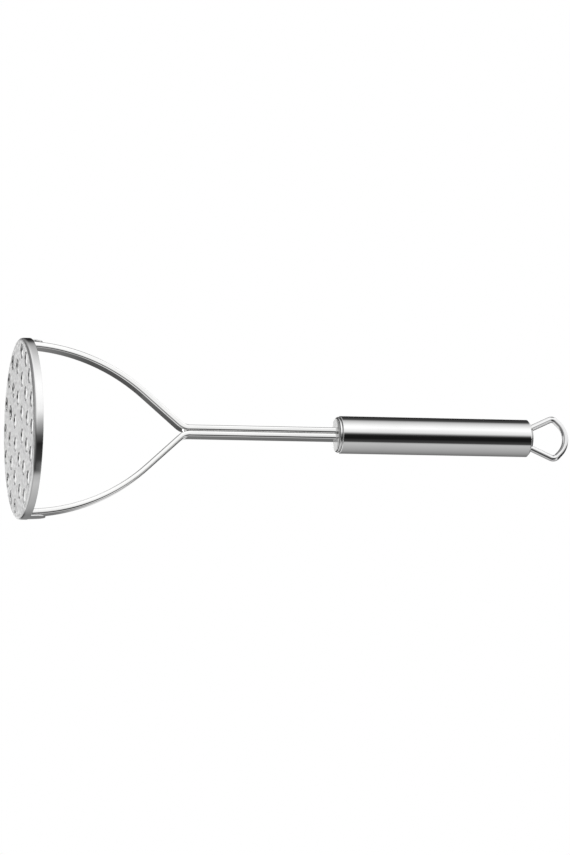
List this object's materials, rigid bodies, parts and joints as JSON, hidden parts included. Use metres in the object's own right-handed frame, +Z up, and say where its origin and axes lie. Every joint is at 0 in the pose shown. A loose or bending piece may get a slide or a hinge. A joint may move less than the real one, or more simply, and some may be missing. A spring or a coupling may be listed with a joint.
{
  "type": "potato masher",
  "caption": "Hand potato masher: a perforated round disc on two bowed arms that close into a neck, a straight tubular handle and a wire hanging loop.",
  "frame": {"origin": "centre of the mashing face, which is the lowest plane of the part", "axes": "+Z up the tool's axis from the mashing face to the hanging loop; the two arms and the loop lie in the XZ plane; +Y completes the right-handed frame"},
  "size_m": [0.09, 0.09, 0.2848],
  "materials": {
    "satin_steel": "satin blasted mashing face with a polished rim",
    "polished_bar": "polished flat bar with tumbled edges",
    "turned_steel": "fine turned face",
    "polished_tube": "mirror polished",
    "polished_wire": "polished round wire"
  },
  "bodies": {
    "root": {"mashing_disc": "satin_steel", "arm_left": "polished_bar", "arm_right": "polished_bar", "front_cap": "turned_steel", "front_collar": "polished_tube", "handle_tube": "polished_tube", "rear_cap": "polished_tube", "hanging_loop": "polished_wire"}
  },
  "joints": []
}
